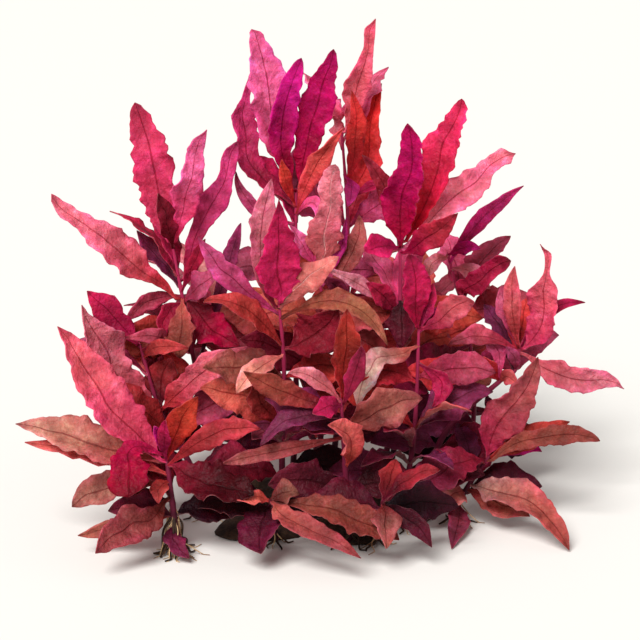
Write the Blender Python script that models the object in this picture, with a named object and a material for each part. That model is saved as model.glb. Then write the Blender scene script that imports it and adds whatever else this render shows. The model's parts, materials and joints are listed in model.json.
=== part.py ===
"""A bushy clump of a red-leaved water plant, cut off flat at the ground.

Upright shoots rise from one root crown. Each shoot carries wavy, lance-shaped leaves: the large ones are
pieces of their own, and the small ones are fused to their shoot. Lengths are in millimetres until a mesh is
made, +Z is up, the front of the clump faces -Y, and the origin is under the middle of the root crown.
"""

import math

import bpy
from mathutils import Matrix, Vector
from mathutils.bvhtree import BVHTree

for thing in list(bpy.data.objects):
    bpy.data.objects.remove(thing, do_unlink=True)

MM = 0.001

# The clump is laid out as it looks from the front. A place is (right, up, back): how far right and up it
# appears in a flat picture of the clump, and how far it really is behind the middle.
VIEW_RISE = math.radians(14)
VIEW_FAR = 900
VIEW_UP = 92.5

LOWEST = 1.6
GAP = 0.35

STEM_SIDES = 5
STEM_FOOT_RADIUS = 2.3
STEM_TOP_RADIUS = 1.1

CROWN_RADIUS = 24
CROWN_HEIGHT = 9
CROWN_SIDES = 28
CROWN_TOE = 4

BLADE_THICKNESS = 0.9
PETIOLE_HALF_WIDTH = 0.8
PETIOLE_EXTRA = 0.25
MIDRIB_FOLD = 0.24
MARGIN_WAVE = 0.13
LEAF_TURN = 14
LEAF_LEAN = 0.35
LEAF_SUNK = 0.6
LOWEST_LEAF = 3.0

# Small leaves that reach further than this have the finer outline
SMALL_REACH = 24
INNER_LEAF_SLIM = 0.40
INNER_LEAF_REACH = 0.86
INNER_LEAF_RISES = (0.15, 0.50)
HIDDEN_LEAF_SLIM = 0.30
HIDDEN_LEAF_DROOP = 25

# The share of the full half width along a leaf, from its petiole to near its tip
LARGE_OUTLINE = ((0.05, 0.0), (0.18, 0.42), (0.36, 0.88), (0.55, 1.0), (0.74, 0.76), (0.90, 0.34))
SMALL_OUTLINE = ((0.08, 0.0), (0.34, 0.84), (0.60, 0.96), (0.84, 0.46))
PLAIN_OUTLINE = ((0.10, 0.0), (0.44, 1.0), (0.76, 0.62))

TONES = {
    "magenta": (0.56, 0.02, 0.19),
    "crimson": (0.50, 0.015, 0.06),
    "pink": (0.72, 0.07, 0.14),
    "coral": (0.60, 0.11, 0.10),
    "salmon": (0.56, 0.20, 0.14),
    "bronze": (0.24, 0.09, 0.05),
    "rust": (0.26, 0.04, 0.03),
    "maroon": (0.09, 0.008, 0.02),
    "stem": (0.07, 0.015, 0.035),
    "root": (0.035, 0.018, 0.012),
}

# Shoots: where each meets the ground (x, y), then the places that its stem passes, up to its growing tip
SHOOTS = {
    "upper_left": ((-40, -4), ((-58, 50, 6), (-68, 100, 10), (-74, 131, 14))),
    "top_centre": ((-14, 24), ((-12, 60, 28), (-12, 110, 30), (-12, 157, 30))),
    "tall_back": ((6, 44), ((12, 70, 54), (14, 135, 60), (11, 186, 62))),
    "right_centre": ((30, 6), ((38, 60, 6), (40, 102, 6), (40, 131, 8))),
    "right_back": ((56, 26), ((75, 32, 30), (75, 80, 38), (64, 125, 46))),
    "right_front": ((38, -32), ((47, 35, -32), (49.5, 88.5, -26))),
    "far_right": ((50, -2), ((62.5, 36, -2), (90, 62, 2), (98, 68, 4), (100, 79, 5))),
    "centre": ((-18, -32), ((-19, 32, -34), (-18, 70, -36), (-20.5, 101, -38))),
    "middle": ((2, 2), ((0, 50, 0), (3, 90, 0), (-2, 120, 2))),
    "centre_front": ((14, -54), ((12, 30, -58), (10.5, 52, -60))),
    "left_middle": ((-52, -16), ((-70, 30, -14), (-80, 47, -10), (-90, 80, -4))),
    "lower_left": ((-66, -66), ((-74, 2.5, -66), (-76, 18, -63), (-77.5, 25, -60))),
    "lower_centre": ((-21, -52), ((-24, -2, -64), (-25, 2, -76))),
    "front_right": ((27, -52), ((31, -2, -70), (31.5, 2, -84))),
    "lower_right": ((64, -22), ((74, 9.5, -26), (84, 23.5, -28))),
    "back_left": ((-34, 36), ((-46, 55, 62), (-52, 92, 74))),
    "back_right": ((36, 48), ((44, 55, 76), (50, 88, 86))),
    "back_centre": ((0, 62), ((-6, 45, 88), (-8, 74, 98))),
}

# Large leaves, each a piece of its own: shoot, where it leaves the shoot, its middle and its tip as
# (right, up), its width as seen, how far its tip stands behind its foot, its turn about the midrib in
# degrees, and its tone
LARGE_LEAVES = (
    ("upper_left", (-72, 132), (-82.5, 162), (-93, 201), 18, 4, 0, "crimson"),
    ("upper_left", (-71, 133), (-65, 158), (-56, 187), 12, -8, 10, "pink"),
    ("upper_left", (-70, 102), (-100, 127), (-133.5, 156), 19, -10, 0, "pink"),
    ("upper_left", (-69, 112), (-57.5, 145), (-41, 182), 12, 16, 25, "crimson"),
    ("upper_left", (-71, 102), (-68, 88), (-70, 73), 14, -22, 0, "coral"),
    ("upper_left", (-69, 102), (-56, 90), (-40, 79), 17, -16, -10, "crimson"),
    ("top_centre", (-14, 157), (-27, 200), (-34, 238), 18, 10, 10, "pink"),
    ("top_centre", (-13, 157), (-18.5, 193), (-9.5, 223), 16, -10, -8, "magenta"),
    ("top_centre", (-11, 156), (-2.5, 193), (7, 228), 18, -4, 8, "magenta"),
    ("top_centre", (-14, 150), (-40, 188), (-35, 216), 15, 22, 0, "crimson"),
    ("tall_back", (11, 186), (19, 212), (28, 243), 12, 0, 10, "pink"),
    ("tall_back", (14, 150), (26, 182), (30.5, 211), 13, 14, 0, "rust"),
    ("right_centre", (40, 129), (41, 160), (44, 191), 21, -12, 0, "crimson"),
    ("right_centre", (42, 130), (62, 172), (71, 203), 18, 12, 0, "pink"),
    ("right_centre", (42, 128), (72, 157), (98, 176), 20, 18, 0, "pink"),
    ("right_centre", (42, 126), (55, 134), (69, 146), 13, -18, 0, "magenta"),
    ("right_front", (50, 88), (46.5, 108), (44, 126), 14, -6, 0, "magenta"),
    ("right_back", (68, 104), (76, 112), (96, 122), 15, -14, 0, "crimson"),
    ("right_front", (50, 88), (65, 94), (77.5, 102), 13, -6, 10, "salmon"),
    ("right_front", (47, 79), (30, 69), (19, 49), 14, -18, 0, "coral"),
    ("far_right", (100, 78), (113, 101), (110, 131), 15, -6, 0, "pink"),
    ("far_right", (100, 76), (129, 64.5), (152, 58), 14, -4, 0, "pink"),
    ("centre", (-20.5, 101), (-21, 126), (-20.5, 153), 19, -10, 0, "crimson"),
    ("centre", (-21, 98), (-32, 128), (-24, 163), 14, 14, 0, "coral"),
    ("middle", (-1, 118), (2, 145), (7.5, 171), 15, -10, 180, "salmon"),
    ("centre", (-18, 78), (-3, 84), (9, 99), 20, -4, 10, "maroon"),
    ("right_back", (75, 80), (47, 66), (21, 50), 24, -60, 0, "maroon"),
    ("centre_front", (9, 50), (-18, 56), (-38, 68), 12, -6, 0, "coral"),
    ("left_middle", (-80, 45), (-104, 71), (-119, 100), 22, -14, 0, "pink"),
    ("left_middle", (-79, 48), (-60, 63), (-37, 79), 15, -16, 0, "coral"),
    ("lower_left", (-77, 22), (-107, 52), (-132, 89), 24, 6, 0, "pink"),
    ("lower_left", (-78, 21), (-117, 33), (-152, 40), 21, 12, 0, "coral"),
    ("lower_left", (-78, 25), (-95, 27), (-95, 4), 19, -20, 0, "magenta"),
    ("lower_left", (-75, 3), (-95, -10), (-112, -24), 17, -34, 0, "rust"),
    ("lower_left", (-76, 20), (-57, 15), (-33, 5), 24, -20, 0, "maroon"),
    ("lower_centre", (-25, 2), (-7, -9), (20.5, -26), 14, -30, 0, "coral"),
    ("lower_centre", (-24, 2), (12, -4), (40, -17), 17, -12, 0, "rust"),
    ("lower_right", (84, 23.5), (95, 47), (109, 74), 20, 10, 0, "coral"),
    ("lower_right", (84, 22), (112, 34), (140, 32), 13, -4, 0, "bronze"),
    ("lower_right", (75, 11), (102, 4), (125, -22), 18, -40, 0, "coral"),
    ("lower_right", (83, 21), (64, 18), (39, 3), 18, -22, 0, "maroon"),
)

# Small leaves, fused to their shoots, in the same order of values
SMALL_LEAVES = (
    ("upper_left", (-72, 130), (-77, 143), (-82, 156), 10, -12, 0, "maroon"),
    ("upper_left", (-69.5, 110), (-81, 124), (-92, 136), 10, 8, 0, "maroon"),
    ("upper_left", (-69, 108), (-63, 121), (-57.5, 133), 7, -6, 0, "crimson"),
    ("upper_left", (-68, 102), (-60, 110), (-51, 115), 12, -14, 0, "salmon"),
    ("upper_left", (-70, 104), (-85, 102), (-98, 91), 9, -8, 0, "crimson"),
    ("upper_left", (-70, 103), (-77, 95), (-78, 83), 9, -12, 0, "magenta"),
    ("top_centre", (-12, 146), (-3, 168), (12, 188), 10, -6, 0, "coral"),
    ("top_centre", (-12, 140), (-34, 150), (-42, 167), 7, 0, 0, "crimson"),
    ("top_centre", (-12, 148), (-3, 151), (-1, 139), 7, -16, 0, "magenta"),
    ("top_centre", (-12, 150), (-17, 162), (-19, 172), 6, -10, 0, "coral"),
    ("tall_back", (13, 160), (18, 184), (16.5, 207), 10, -6, 0, "crimson"),
    ("tall_back", (13, 164), (16, 158), (14, 148), 7, -10, 0, "magenta"),
    ("tall_back", (14, 152), (28, 160), (38.5, 157), 5, 4, 0, "crimson"),
    ("right_centre", (40, 131), (34, 155), (21, 175), 9, 6, 0, "maroon"),
    ("right_centre", (40, 128), (30, 129), (21.5, 126), 12, -10, 0, "crimson"),
    ("right_back", (64, 122), (80, 142), (101.5, 160), 9, 4, 0, "magenta"),
    ("right_back", (64, 125), (72, 129), (80.5, 128), 7, -6, 0, "crimson"),
    ("right_back", (64, 124), (57, 121), (53, 112), 8, -8, 0, "salmon"),
    ("right_back", (65, 118), (76, 116), (85, 108), 9, -10, 0, "bronze"),
    ("right_centre", (40, 96), (32, 104), (23.5, 111), 10, -10, 0, "crimson"),
    ("right_centre", (40, 102), (41, 92), (40, 78), 14, -12, 0, "maroon"),
    ("right_front", (50, 89), (54, 100), (56.5, 111), 7, 2, 0, "crimson"),
    ("right_front", (50, 87), (62, 94), (73, 95), 9, 6, 0, "magenta"),
    ("right_centre", (40, 98), (22, 109), (3, 118), 7, -14, 0, "coral"),
    ("far_right", (100, 79), (96, 100), (97.5, 119), 9, -4, 0, "pink"),
    ("far_right", (100, 79), (93, 96), (91, 110), 8, 6, 0, "magenta"),
    ("far_right", (100, 79), (113, 96), (133, 102), 7, 6, 0, "crimson"),
    ("far_right", (98, 68), (97, 74), (93, 79), 7, -8, 0, "crimson"),
    ("far_right", (100, 77), (80, 84), (64, 80), 8, -6, 0, "salmon"),
    ("far_right", (90, 62), (88, 78), (78, 84), 8, 4, 0, "crimson"),
    ("far_right", (90, 62), (85, 68), (82, 75), 8, -8, 0, "coral"),
    ("far_right", (90, 62), (94, 64), (99, 60), 8, -6, 0, "coral"),
    ("far_right", (82, 57), (85, 50), (91, 44), 5, -6, 0, "maroon"),
    ("middle", (-2, 119), (-9, 130), (-14, 140), 8, -6, 0, "coral"),
    ("centre", (-20, 99), (-8, 112), (10, 124), 14, -6, 180, "salmon"),
    ("middle", (2, 104), (16, 125), (19.5, 145), 11, 2, 0, "bronze"),
    ("middle", (0, 113), (9, 126), (13, 144), 5, 6, 0, "magenta"),
    ("middle", (2, 98), (9, 107), (1, 113), 10, -8, 0, "maroon"),
    ("centre", (-19, 94), (12, 101), (34, 80), 9, -12, 0, "bronze"),
    ("centre", (-21, 96), (-46, 115), (-60, 134), 11, 6, 0, "magenta"),
    ("centre", (-19, 80), (-38, 98), (-58, 103), 11, -10, 0, "bronze"),
    ("upper_left", (-60, 70), (-46, 118), (-40, 141), 8, 2, 0, "maroon"),
    ("centre", (-18, 74), (-31, 68), (-42, 56), 11, -12, 0, "salmon"),
    ("centre_front", (10.5, 52), (13, 76), (13.5, 98), 13, 6, 0, "rust"),
    ("centre_front", (10.5, 50), (18, 66), (21, 80), 9, -2, 0, "maroon"),
    ("centre_front", (10.5, 52), (-2, 63), (-16, 66), 8, -4, 0, "coral"),
    ("centre_front", (10.5, 50), (4, 49), (-4, 45), 10, -12, 0, "crimson"),
    ("centre_front", (12, 20), (15, 33), (4, 40), 13, -16, 0, "coral"),
    ("right_back", (75, 33), (52, 46), (29, 51), 10, -30, 0, "maroon"),
    ("right_back", (75, 46), (66, 52), (58, 56), 7, -14, 0, "crimson"),
    ("right_front", (49, 70), (61, 60), (56, 49), 9, -6, 0, "crimson"),
    ("left_middle", (-90, 80), (-104, 95), (-116.5, 107), 14, 0, 0, "crimson"),
    ("left_middle", (-89, 77), (-80, 84), (-99, 83), 8, -8, 0, "rust"),
    ("left_middle", (-88, 74), (-80, 79), (-66, 78), 8, -12, 0, "bronze"),
    ("left_middle", (-81, 49), (-79, 62), (-74, 74), 17, -2, 0, "rust"),
    ("left_middle", (-80, 44), (-92, 48), (-104, 50), 9, -6, 0, "maroon"),
    ("lower_left", (-77.5, 23), (-70, 40), (-61, 54), 14, -4, 0, "bronze"),
    ("lower_left", (-76, 20), (-52, 36), (-30, 38), 13, -10, 0, "coral"),
    ("lower_left", (-77.5, 25), (-76, 36), (-66, 52), 5, 6, 0, "crimson"),
    ("lower_left", (-77.5, 25), (-80, 33), (-84, 40), 6, -4, 0, "magenta"),
    ("lower_left", (-77.5, 25), (-78, 34), (-76, 43), 6, -8, 0, "magenta"),
    ("lower_left", (-76, 15), (-110, 26), (-147, 30), 12, 14, 0, "rust"),
    ("lower_left", (-75, 11), (-106, 8), (-124, -1), 13, -10, 0, "crimson"),
    ("lower_left", (-74, 2), (-90, 4), (-101, 8), 8, 4, 0, "maroon"),
    ("lower_left", (-72, -5), (-97, -10), (-121, -15), 10, -2, 0, "rust"),
    ("lower_left", (-72, -10), (-73, -18), (-65, -27), 9, -14, 0, "maroon"),
    ("lower_left", (-75, 12), (-80, 8), (-81, 1), 8, -10, 0, "coral"),
    ("centre", (-19, 42), (-30, 53), (-32, 65), 14, -6, 0, "bronze"),
    ("centre_front", (12, 34), (-25, 26), (-49, 21), 8, -10, 0, "salmon"),
    ("centre_front", (11, 44), (-14, 43), (-29, 29), 9, -10, 0, "bronze"),
    ("lower_centre", (-25, 2), (-33, 4), (-41, 1), 8, -8, 0, "coral"),
    ("lower_centre", (-25, 2), (-18, 6), (-10, 6), 9, 4, 0, "coral"),
    ("lower_centre", (-25, 0), (-30, -10), (-29, -25), 21, -24, 0, "rust"),
    ("front_right", (31, 1), (33, -9), (32.5, -22), 12, -16, 0, "coral"),
    ("front_right", (31.5, 2), (35, 13), (38, 23), 11, 4, 0, "bronze"),
    ("front_right", (31.5, 2), (46, 14), (60, 18), 8, 4, 0, "rust"),
    ("front_right", (31, 0), (46, -8), (56, -21), 10, -10, 0, "rust"),
    ("lower_right", (84, 23.5), (105, 34), (125, 42), 11, 10, 0, "rust"),
    ("lower_right", (83, 21), (98, 29), (111, 27), 8, 2, 0, "magenta"),
    ("lower_right", (73, 8), (88, 2), (105, -5), 14, -14, 0, "rust"),
    ("lower_right", (73, 6), (66, 5), (54, -5), 13, -16, 0, "salmon"),
    ("lower_right", (70, 1), (69, -8), (66, -21), 10, -22, 0, "bronze"),
)

# Leaves of the shaded inside, in pairs across the view: shoot, shares of its height, length and tone
INNER_PAIRS = (
    ("upper_left", (0.22, 0.42, 0.60), 50, "rust"),
    ("top_centre", (0.22, 0.45, 0.70), 48, "rust"),
    ("tall_back", (0.55, 0.72), 44, "rust"),
    ("right_centre", (0.25, 0.50, 0.68), 48, "maroon"),
    ("right_back", (0.20, 0.50, 0.75), 50, "rust"),
    ("right_front", (0.22, 0.50, 0.75), 46, "maroon"),
    ("far_right", (0.30, 0.60), 40, "rust"),
    ("centre", (0.18, 0.42, 0.66), 48, "maroon"),
    ("middle", (0.25, 0.50, 0.75), 48, "maroon"),
    ("centre_front", (0.35, 0.75), 46, "rust"),
    ("left_middle", (0.25, 0.50), 46, "rust"),
    ("lower_left", (0.40,), 38, "maroon"),
    ("lower_centre", (0.60,), 44, "maroon"),
    ("front_right", (0.60,), 44, "maroon"),
    ("lower_right", (0.45,), 44, "maroon"),
)

# Leaves that grow behind and inside the clump, where the front hides them, in pairs up the shoots: shoot,
# shares of its height, length, the ways the first pair points in degrees (0 is right, 90 is back), and tone
HIDDEN_LEAVES = (
    ("upper_left", (0.58, 0.88), 46, (100, 150), "rust"),
    ("top_centre", (0.62, 0.90), 50, (70, 120), "crimson"),
    ("tall_back", (0.50, 0.72, 0.95), 52, (50, 125), "crimson"),
    ("right_centre", (0.45, 0.75), 44, (60, 110), "rust"),
    ("right_back", (0.45, 0.80), 48, (30, 85), "crimson"),
    ("far_right", (0.55, 0.90), 40, (60, 100), "coral"),
    ("centre", (0.35,), 40, (250, 310), "maroon"),
    ("left_middle", (0.40, 0.80), 44, (90, 150), "rust"),
    ("lower_left", (0.60,), 36, (110, 160), "maroon"),
    ("right_front", (0.25, 0.50), 38, (230, 300), "maroon"),
    ("lower_right", (0.60,), 38, (40, 100), "rust"),
    ("back_left", (0.25, 0.50, 0.75, 0.98), 52, (110, 175), "coral"),
    ("back_right", (0.25, 0.50, 0.75, 0.98), 52, (5, 70), "coral"),
    ("back_centre", (0.26, 0.50, 0.74, 0.97), 52, (52, 128), "bronze"),
)

VIEW_ALONG = Vector((0, math.cos(VIEW_RISE), -math.sin(VIEW_RISE)))
VIEW_UPWARD = Vector((0, math.sin(VIEW_RISE), math.cos(VIEW_RISE)))
VIEW_POINT = VIEW_UPWARD * VIEW_UP - VIEW_ALONG * VIEW_FAR
UP = Vector((0, 0, 1))


def seen(right, up, back, lowest=LOWEST):
    """The place that looks (right, up) from the front and lies that far back, never under the ground."""
    ray = VIEW_ALONG * VIEW_FAR + Vector((right, 0, 0)) + VIEW_UPWARD * (up - VIEW_UP)
    place = VIEW_POINT + ray * ((back - VIEW_POINT.y) / ray.y)
    if place.z < lowest:
        place = VIEW_POINT + ray * ((lowest - VIEW_POINT.z) / ray.z)
    return place


def look(place):
    """Where a place appears from the front, as (right, up)."""
    away = place - VIEW_POINT
    share = VIEW_FAR / away.dot(VIEW_ALONG)
    return away.x * share, away.dot(VIEW_UPWARD) * share + VIEW_UP


def smooth_line(points, steps):
    """Points along one smooth curve through the given ones, with that many steps between each two."""
    ends = [points[0] * 2 - points[1], *points, points[-1] * 2 - points[-2]]
    line = []
    for a, b, c, d in zip(ends, ends[1:], ends[2:], ends[3:]):
        for step in range(steps):
            t = step / steps
            line.append(
                b + (c - a) * (t / 2) + (a * 2 - b * 5 + c * 4 - d) * (t * t / 2)
                + (b * 3 - a - c * 3 + d) * (t * t * t / 2)
            )
    line.append(points[-1])
    return line


def new_object(name, places, faces, tone):
    """One closed body, made from places in millimetres and faces that point out."""
    mesh = bpy.data.meshes.new(name)
    mesh.from_pydata([place * MM for place in places], [], faces)
    mesh.materials.append(materials[tone])
    mesh.shade_smooth()
    mesh.set_sharp_from_angle(angle=math.radians(40))
    thing = bpy.data.objects.new(name, mesh)
    bpy.context.scene.collection.objects.link(thing)
    return thing


def tone_material(tone):
    """The satin skin of a leaf, a stem or a root in one colour."""
    skin = bpy.data.materials.new(tone)
    skin.use_nodes = True
    shader = skin.node_tree.nodes["Principled BSDF"]
    shader.inputs["Base Color"].default_value = (*TONES[tone], 1)
    shader.inputs["Roughness"].default_value = 0.9 if tone == "root" else 0.45
    shader.inputs["Metallic"].default_value = 0
    return skin


class Crowd:
    """All that stands already, so that each new leaf finds a place clear of it."""

    def __init__(self):
        self.places = []
        self.faces = []
        self.owners = []
        self.tree = None

    def add(self, places, faces, owner):
        start = len(self.places)
        self.places += places
        self.faces += [[start + corner for corner in face] for face in faces]
        self.owners += [owner] * len(faces)
        self.tree = BVHTree.FromPolygons(self.places, self.faces, all_triangles=False)

    def touches(self, places, faces, own=None):
        shape = BVHTree.FromPolygons(places, faces, all_triangles=False)
        return any(self.owners[theirs] != own for _, theirs in shape.overlap(self.tree))


def crown_reach(way):
    """How far the crown creeps in one direction: to just past the foot of each stem that stands there."""
    reach = CROWN_RADIUS
    for foot, _ in SHOOTS.values():
        far = math.hypot(*foot) + CROWN_TOE
        apart = (way - math.atan2(foot[1], foot[0]) + math.pi) % math.tau - math.pi
        lobe = CROWN_RADIUS + (far - CROWN_RADIUS) * math.exp(-((apart * far / 15) ** 2))
        reach = max(reach, lobe)
    return reach


def crown_shape():
    """The crown's places and faces: a low lumpy mound on a flat cut."""
    levels = ((1.0, 0.0), (0.95, 0.5), (0.74, 0.86), (0.42, 1.0))
    places = []
    for share, height in levels:
        for side in range(CROWN_SIDES):
            way = math.tau * side / CROWN_SIDES
            reach = crown_reach(way) * share
            lump = 1 + 0.16 * math.sin(5 * way + 7 * share) + 0.10 * math.sin(11 * way)
            thin = 1 - 0.35 * min(1, reach / 95)
            rise = CROWN_HEIGHT * height * thin * (lump if height else 1)
            places.append(Vector((reach * math.cos(way), reach * math.sin(way), rise)))
    faces = [list(reversed(range(CROWN_SIDES)))]
    for level in range(len(levels) - 1):
        for side in range(CROWN_SIDES):
            low = level * CROWN_SIDES
            after = (side + 1) % CROWN_SIDES
            faces.append([low + side, low + after, low + CROWN_SIDES + after])
            faces.append([low + side, low + CROWN_SIDES + after, low + CROWN_SIDES + side])
    top = (len(levels) - 1) * CROWN_SIDES
    places.append(Vector((0, 0, CROWN_HEIGHT)))
    for side in range(CROWN_SIDES):
        faces.append([top + side, top + (side + 1) % CROWN_SIDES, len(places) - 1])
    return places, faces


def stem_line(foot, passes, crown):
    """The stem's middle line, from the crown's skin under its foot to its growing tip."""
    rests = [0.0]
    for reach in (0, STEM_FOOT_RADIUS + 0.2):
        for side in range(8):
            way = math.tau * side / 8
            rim = Vector((foot[0] + reach * math.cos(way), foot[1] + reach * math.sin(way), 50))
            skin = crown.ray_cast(rim, -UP)[0]
            rests.append(skin.z if skin else 0.0)
    start = Vector((*foot, max(rests) + GAP))
    points = [start, *(seen(*place) for place in passes)]
    return smooth_line(points, 2)


def stem_shape(line):
    """A round tapering stem about that line, cut level at its foot and closed to a point at its tip."""
    places = []
    last = len(line) - 1
    for index, middle in enumerate(line):
        radius = STEM_FOOT_RADIUS + (STEM_TOP_RADIUS - STEM_FOOT_RADIUS) * index / last
        way = UP if index == 0 else (line[min(index + 1, last)] - line[index - 1]).normalized()
        across = Vector((0, 1, 0)).cross(way).normalized()
        ahead = way.cross(across)
        for side in range(STEM_SIDES):
            turn = math.tau * side / STEM_SIDES
            places.append(middle + (across * math.cos(turn) + ahead * math.sin(turn)) * radius)
    faces = [list(reversed(range(STEM_SIDES)))]
    for index in range(last):
        for side in range(STEM_SIDES):
            low = index * STEM_SIDES
            after = (side + 1) % STEM_SIDES
            faces.append([low + side, low + after, low + STEM_SIDES + after])
            faces.append([low + side, low + STEM_SIDES + after, low + STEM_SIDES + side])
    places.append(line[-1] + (line[-1] - line[-2]).normalized() * 2 * STEM_TOP_RADIUS)
    for side in range(STEM_SIDES):
        low = last * STEM_SIDES
        faces.append([low + side, low + (side + 1) % STEM_SIDES, len(places) - 1])
    return places, faces


def leaf_shape(start, middle, tip, width, turn, outline, facing, spare=0.0):
    """A closed blade on a bent midrib, folded and waved like the real leaf.

    The corners of a ring are left margin, upper midrib, right margin and lower midrib. A plain leaf is flat
    on top and leaves out the upper midrib. Both skins of a blade are split from margin to midrib alike, so
    that they never cross.
    """
    pull = middle * 2 - (start + tip) / 2
    places = []
    for index, (share, wide) in enumerate(outline):
        along = (pull - start) * (2 - 2 * share) + (tip - pull) * (2 * share)
        along.normalize()
        rib = start * (1 - share) ** 2 + pull * (2 * share * (1 - share)) + tip * share**2
        face = (facing - along * facing.dot(along)).normalized()
        face.rotate(Matrix.Rotation(math.radians(turn), 3, along))
        side = along.cross(face)
        half = PETIOLE_HALF_WIDTH + (width / 2 - PETIOLE_HALF_WIDTH) * wide + spare
        thick = BLADE_THICKNESS / 2 + (0 if index else PETIOLE_EXTRA) + spare
        wave = MARGIN_WAVE * (1 if index % 2 else -1) * (1 if wide else 0)
        ring = [
            rib - side * half + face * half * (MIDRIB_FOLD + wave),
            rib + face * thick,
            rib + side * half + face * half * (MIDRIB_FOLD - wave),
            rib - face * thick,
        ]
        if outline is PLAIN_OUTLINE:
            del ring[1]
        places += ring
    count = len(outline)
    corners = len(places) // count
    places.append(start - (middle - start).normalized() * spare)
    places.append(tip + (tip - middle).normalized() * spare)
    faces = []
    last = (count - 1) * corners
    for low in range(0, last, corners):
        for corner in range(corners):
            after = (corner + 1) % corners
            here, there = low + corner, low + after
            if corner % 2:
                faces.append([here, there, here + corners])
                faces.append([there, there + corners, here + corners])
            else:
                faces.append([here, there, there + corners])
                faces.append([here, there + corners, here + corners])
    for corner in range(corners):
        after = (corner + 1) % corners
        faces.append([corner, corners * count, after])
        faces.append([last + corner, last + after, corners * count + 1])
    return places, faces


class Stem:
    """A stem's middle line, with the place, the way and the radius at any height along it."""

    def __init__(self, line):
        self.line = line
        self.marks = [0.0]
        for low, high in zip(line, line[1:]):
            self.marks.append(self.marks[-1] + (high - low).length)
        self.length = self.marks[-1]

    def at(self, height):
        height = min(max(height, LOWEST_LEAF), self.length)
        index = max(i for i, mark in enumerate(self.marks[:-1]) if mark <= height)
        low, high = self.line[index], self.line[index + 1]
        share = (height - self.marks[index]) / (self.marks[index + 1] - self.marks[index])
        radius = STEM_FOOT_RADIUS + (STEM_TOP_RADIUS - STEM_FOOT_RADIUS) * height / self.length
        return low.lerp(high, share), (high - low).normalized(), radius

    def height_seen(self, right, up):
        """The height at which the stem looks nearest to a place seen from the front."""
        heights = range(int(LOWEST_LEAF), int(self.length) + 1)

        def miss(height):
            place = self.at(height)[0]
            return (place - seen(right, up, place.y)).length

        return min(heights, key=miss)


def seen_width(width, start, middle, tip, turn, facing):
    """The real width of a blade that looks that wide from the front."""
    along = (tip - start).normalized()
    face = (facing - along * facing.dot(along)).normalized()
    face.rotate(Matrix.Rotation(math.radians(turn), 3, along))
    side = along.cross(face)
    view = (VIEW_POINT - middle).normalized()
    return width / max(0.62, math.sqrt(1 - side.dot(view) ** 2))


def foot_of_leaf(stem, height, middle, sunk):
    """Where a leaf starts: sunk in its stem's skin, or just clear of it on the side that it grows to."""
    place, way, radius = stem.at(height)
    out = middle - place
    out -= way * out.dot(way)
    return place + out.normalized() * (radius + (-LEAF_SUNK if sunk else 2 * GAP))


def front_choices(stem, leaf, outline, sunk):
    """The ways to grow a leaf of the tables so that it keeps its look from the front, nearest first."""
    foot, middle_seen, tip_seen, width, behind, turn = leaf
    turn += LEAF_TURN if (foot[0] + tip_seen[1]) % 2 < 1 else -LEAF_TURN
    height = stem.height_seen(*foot)
    foot_back = stem.at(height)[0].y
    for swing, bend, slide, lean in FRONT_TRIES:
        here = min(max(height + slide, LOWEST_LEAF), stem.length)
        lowest = LOWEST + (1 - MIDRIB_FOLD) * width / 2
        middle = seen(*middle_seen, foot_back + (behind + swing) / 2 + bend, lowest)
        tip = seen(*tip_seen, foot_back + behind + swing)
        start = foot_of_leaf(stem, here, middle, sunk)
        facing = (VIEW_POINT - middle).normalized() + UP * lean
        real = seen_width(width, start, middle, tip, turn, facing)
        yield start, middle, tip, real, turn, outline, facing


def hidden_choices(stem, share, length, way):
    """The ways to grow a leaf behind or inside the clump, nearest first."""
    for swing, lift, slide in HIDDEN_TRIES:
        here = min(max(share * stem.length + slide, LOWEST_LEAF), stem.length)
        place = stem.at(here)[0]
        rise = math.radians(12 + 46 * share + lift)
        flat = math.radians(way + swing)
        out = Vector((math.cos(flat), math.sin(flat), 0))
        middle = place + (out * math.cos(rise) + UP * math.sin(rise)) * length * 0.52
        middle.z = max(middle.z, 7.0)
        rise -= math.radians(HIDDEN_LEAF_DROOP)
        tip = middle + (out * math.cos(rise) + UP * math.sin(rise)) * length * 0.50
        tip.z = max(tip.z, 3.0)
        start = foot_of_leaf(stem, here, middle, True)
        yield start, middle, tip, length * HIDDEN_LEAF_SLIM, 0, PLAIN_OUTLINE, UP + out / 2


def grow(choices, crowd, own=None):
    """Adds the first choice that is clear of the crowd and the ground, and gives its places and faces."""
    for choice in choices:
        places, faces = leaf_shape(*choice, spare=GAP)
        if min(place.z for place in places) > 0 and not crowd.touches(places, faces, own):
            places, faces = leaf_shape(*choice)
            crowd.add(places, faces, "leaf")
            return places, faces
    return None


def tries(costs, *ranges):
    """Every mix of the ranges' values, the least changed first."""
    mixes = [()]
    for values in ranges:
        mixes = [(*mix, value) for mix in mixes for value in values]
    return sorted(mixes, key=lambda mix: sum(cost * abs(value) for cost, value in zip(costs, mix)))


materials = {tone: tone_material(tone) for tone in TONES}
crowd = Crowd()

crown_places, crown_faces = crown_shape()
crowd.add(crown_places, crown_faces, "root_crown")
new_object("root_crown", crown_places, crown_faces, "root")
crown_tree = BVHTree.FromPolygons(crown_places, crown_faces, all_triangles=False)

stems = {}
for shoot, (foot, passes) in SHOOTS.items():
    line = stem_line(foot, passes, crown_tree)
    places, faces = stem_shape(line)
    crowd.add(places, faces, shoot)
    stems[shoot] = Stem(line)
    new_object(f"{shoot}_shoot", places, faces, "stem")

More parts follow.
